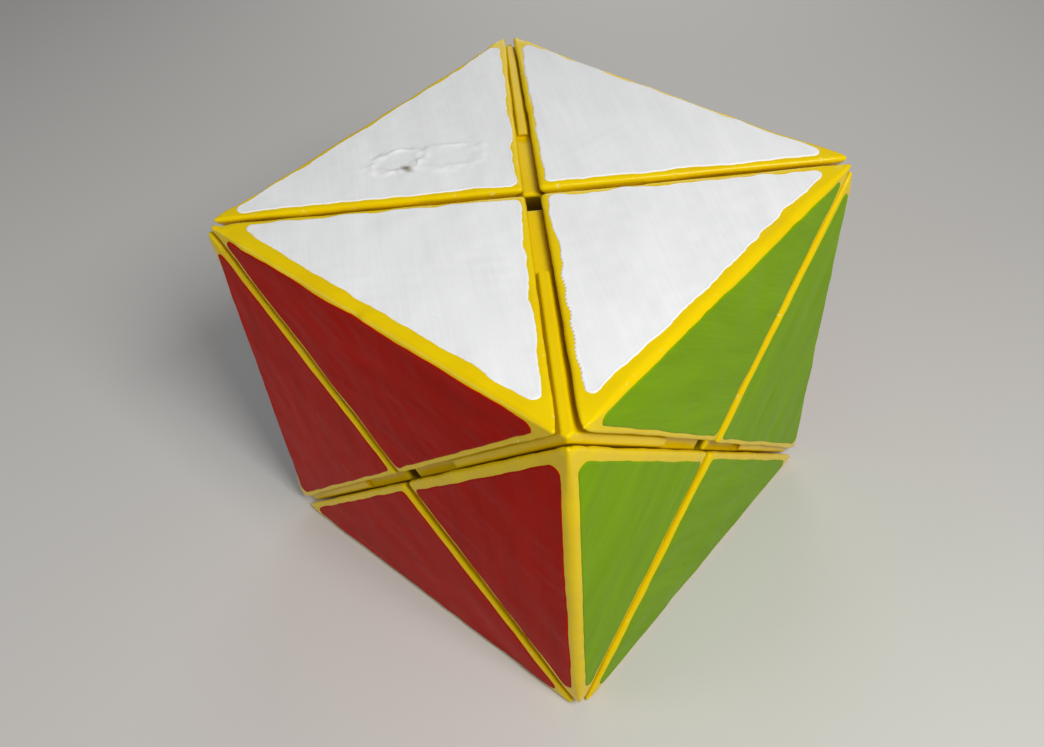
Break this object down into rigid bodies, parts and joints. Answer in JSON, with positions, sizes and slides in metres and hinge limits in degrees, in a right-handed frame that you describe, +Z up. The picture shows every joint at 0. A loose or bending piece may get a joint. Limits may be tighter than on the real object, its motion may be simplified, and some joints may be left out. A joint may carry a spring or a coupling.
{
  "type": "twisty puzzle cube",
  "caption": "Corner-turning puzzle cube: every face cut by both diagonals into coloured triangles, on pieces that turn about the cube's corners.",
  "frame": {"origin": "centre of the cube's footprint, on the surface it stands on", "axes": "+Z up through the white face, -Y out of the red face, +X out of the green face"},
  "size_m": [0.0574, 0.0574, 0.0574],
  "materials": {
    "yellow_plastic": "gloss",
    "core_plastic": "satin",
    "screw_steel": "satin",
    "washer_steel": "satin",
    "spring_steel": "satin",
    "white_panel": "satin",
    "red_panel": "gloss",
    "green_panel": "gloss",
    "orange_panel": "gloss",
    "blue_panel": "gloss",
    "black_panel": "gloss"
  },
  "bodies": {
    "core": {"core_ball": "core_plastic", "corner_screws": "screw_steel", "spring_washers": "washer_steel", "corner_springs": "spring_steel"},
    "corner_top_front_right": {"corner_base_top_front_right": "yellow_plastic", "corner_cap_top_front_right": "yellow_plastic"},
    "corner_top_front_left": {"corner_base_top_front_left": "yellow_plastic", "corner_cap_top_front_left": "yellow_plastic"},
    "corner_top_back_right": {"corner_base_top_back_right": "yellow_plastic", "corner_cap_top_back_right": "yellow_plastic"},
    "corner_top_back_left": {"corner_base_top_back_left": "yellow_plastic", "corner_cap_top_back_left": "yellow_plastic"},
    "corner_bottom_front_right": {"corner_base_bottom_front_right": "yellow_plastic", "corner_cap_bottom_front_right": "yellow_plastic"},
    "corner_bottom_front_left": {"corner_base_bottom_front_left": "yellow_plastic", "corner_cap_bottom_front_left": "yellow_plastic"},
    "corner_bottom_back_right": {"corner_base_bottom_back_right": "yellow_plastic", "corner_cap_bottom_back_right": "yellow_plastic"},
    "corner_bottom_back_left": {"corner_base_bottom_back_left": "yellow_plastic", "corner_cap_bottom_back_left": "yellow_plastic"},
    "edge_top_front": {"edge_top_front": "yellow_plastic", "white_panel_front": "white_panel", "red_panel_top": "red_panel"},
    "edge_top_right": {"edge_top_right": "yellow_plastic", "white_panel_right": "white_panel", "green_panel_top": "green_panel"},
    "edge_top_back": {"edge_top_back": "yellow_plastic", "white_panel_back": "white_panel", "orange_panel_top": "orange_panel"},
    "edge_top_left": {"edge_top_left": "yellow_plastic", "white_panel_left": "white_panel", "blue_panel_top": "blue_panel"},
    "edge_front_right": {"edge_front_right": "yellow_plastic", "red_panel_right": "red_panel", "green_panel_front": "green_panel"},
    "edge_right_back": {"edge_right_back": "yellow_plastic", "green_panel_back": "green_panel", "orange_panel_right": "orange_panel"},
    "edge_back_left": {"edge_back_left": "yellow_plastic", "orange_panel_left": "orange_panel", "blue_panel_back": "blue_panel"},
    "edge_left_front": {"edge_left_front": "yellow_plastic", "blue_panel_front": "blue_panel", "red_panel_left": "red_panel"},
    "edge_bottom_front": {"edge_bottom_front": "yellow_plastic", "black_panel_front": "black_panel", "red_panel_bottom": "red_panel"},
    "edge_bottom_right": {"edge_bottom_right": "yellow_plastic", "black_panel_right": "black_panel", "green_panel_bottom": "green_panel"},
    "edge_bottom_back": {"edge_bottom_back": "yellow_plastic", "black_panel_back": "black_panel", "orange_panel_bottom": "orange_panel"},
    "edge_bottom_left": {"edge_bottom_left": "yellow_plastic", "black_panel_left": "black_panel", "blue_panel_bottom": "blue_panel"}
  },
  "joints": [
    {"name": "turn_top_front_right", "type": "hinge", "parent": "core", "child": "corner_top_front_right", "pos_m": [0, 0, 0.0287], "axis": [0.5774, -0.5774, 0.5774], "range_deg": [-240, 240]},
    {"name": "turn_top_front_left", "type": "hinge", "parent": "core", "child": "corner_top_front_left", "pos_m": [0, 0, 0.0287], "axis": [-0.5774, -0.5774, 0.5774], "range_deg": [-240, 240]},
    {"name": "turn_top_back_right", "type": "hinge", "parent": "core", "child": "corner_top_back_right", "pos_m": [0, 0, 0.0287], "axis": [0.5774, 0.5774, 0.5774], "range_deg": [-240, 240]},
    {"name": "turn_top_back_left", "type": "hinge", "parent": "core", "child": "corner_top_back_left", "pos_m": [0, 0, 0.0287], "axis": [-0.5774, 0.5774, 0.5774], "range_deg": [-240, 240]},
    {"name": "turn_bottom_front_right", "type": "hinge", "parent": "core", "child": "corner_bottom_front_right", "pos_m": [0, 0, 0.0287], "axis": [0.5774, -0.5774, -0.5774], "range_deg": [-240, 240]},
    {"name": "turn_bottom_front_left", "type": "hinge", "parent": "core", "child": "corner_bottom_front_left", "pos_m": [0, 0, 0.0287], "axis": [-0.5774, -0.5774, -0.5774], "range_deg": [-240, 240]},
    {"name": "turn_bottom_back_right", "type": "hinge", "parent": "core", "child": "corner_bottom_back_right", "pos_m": [0, 0, 0.0287], "axis": [0.5774, 0.5774, -0.5774], "range_deg": [-240, 240]},
    {"name": "turn_bottom_back_left", "type": "hinge", "parent": "core", "child": "corner_bottom_back_left", "pos_m": [0, 0, 0.0287], "axis": [-0.5774, 0.5774, -0.5774], "range_deg": [-240, 240]},
    {"name": "turn_top_front_with_top_front_right", "type": "hinge", "parent": "corner_top_front_left", "child": "edge_top_front", "pos_m": [0, 0, 0.0287], "axis": [0.5774, -0.5774, 0.5774], "range_deg": [-240, 240]},
    {"name": "turn_top_right_with_top_front_right", "type": "hinge", "parent": "corner_top_back_right", "child": "edge_top_right", "pos_m": [0, 0, 0.0287], "axis": [0.5774, -0.5774, 0.5774], "range_deg": [-240, 240]},
    {"name": "turn_top_back_with_top_back_left", "type": "hinge", "parent": "corner_top_back_right", "child": "edge_top_back", "pos_m": [0, 0, 0.0287], "axis": [-0.5774, 0.5774, 0.5774], "range_deg": [-240, 240]},
    {"name": "turn_top_left_with_top_back_left", "type": "hinge", "parent": "corner_top_front_left", "child": "edge_top_left", "pos_m": [0, 0, 0.0287], "axis": [-0.5774, 0.5774, 0.5774], "range_deg": [-240, 240]},
    {"name": "turn_front_right_with_top_front_right", "type": "hinge", "parent": "corner_bottom_front_right", "child": "edge_front_right", "pos_m": [0, 0, 0.0287], "axis": [0.5774, -0.5774, 0.5774], "range_deg": [-240, 240]},
    {"name": "turn_right_back_with_bottom_back_right", "type": "hinge", "parent": "corner_top_back_right", "child": "edge_right_back", "pos_m": [0, 0, 0.0287], "axis": [0.5774, 0.5774, -0.5774], "range_deg": [-240, 240]},
    {"name": "turn_back_left_with_top_back_left", "type": "hinge", "parent": "corner_bottom_back_left", "child": "edge_back_left", "pos_m": [0, 0, 0.0287], "axis": [-0.5774, 0.5774, 0.5774], "range_deg": [-240, 240]},
    {"name": "turn_left_front_with_bottom_front_left", "type": "hinge", "parent": "corner_top_front_left", "child": "edge_left_front", "pos_m": [0, 0, 0.0287], "axis": [-0.5774, -0.5774, -0.5774], "range_deg": [-240, 240]},
    {"name": "turn_bottom_front_with_bottom_front_left", "type": "hinge", "parent": "corner_bottom_front_right", "child": "edge_bottom_front", "pos_m": [0, 0, 0.0287], "axis": [-0.5774, -0.5774, -0.5774], "range_deg": [-240, 240]},
    {"name": "turn_bottom_right_with_bottom_back_right", "type": "hinge", "parent": "corner_bottom_front_right", "child": "edge_bottom_right", "pos_m": [0, 0, 0.0287], "axis": [0.5774, 0.5774, -0.5774], "range_deg": [-240, 240]},
    {"name": "turn_bottom_back_with_bottom_back_right", "type": "hinge", "parent": "corner_bottom_back_left", "child": "edge_bottom_back", "pos_m": [0, 0, 0.0287], "axis": [0.5774, 0.5774, -0.5774], "range_deg": [-240, 240]},
    {"name": "turn_bottom_left_with_bottom_front_left", "type": "hinge", "parent": "corner_bottom_back_left", "child": "edge_bottom_left", "pos_m": [0, 0, 0.0287], "axis": [-0.5774, -0.5774, -0.5774], "range_deg": [-240, 240]}
  ],
  "couplings": [
    {"joint": "turn_top_front_with_top_front_right", "follows": "turn_top_front_right", "ratio": 1},
    {"joint": "turn_top_right_with_top_front_right", "follows": "turn_top_front_right", "ratio": 1},
    {"joint": "turn_top_back_with_top_back_left", "follows": "turn_top_back_left", "ratio": 1},
    {"joint": "turn_top_left_with_top_back_left", "follows": "turn_top_back_left", "ratio": 1},
    {"joint": "turn_front_right_with_top_front_right", "follows": "turn_top_front_right", "ratio": 1},
    {"joint": "turn_right_back_with_bottom_back_right", "follows": "turn_bottom_back_right", "ratio": 1},
    {"joint": "turn_back_left_with_top_back_left", "follows": "turn_top_back_left", "ratio": 1},
    {"joint": "turn_left_front_with_bottom_front_left", "follows": "turn_bottom_front_left", "ratio": 1},
    {"joint": "turn_bottom_front_with_bottom_front_left", "follows": "turn_bottom_front_left", "ratio": 1},
    {"joint": "turn_bottom_right_with_bottom_back_right", "follows": "turn_bottom_back_right", "ratio": 1},
    {"joint": "turn_bottom_back_with_bottom_back_right", "follows": "turn_bottom_back_right", "ratio": 1},
    {"joint": "turn_bottom_left_with_bottom_front_left", "follows": "turn_bottom_front_left", "ratio": 1}
  ]
}
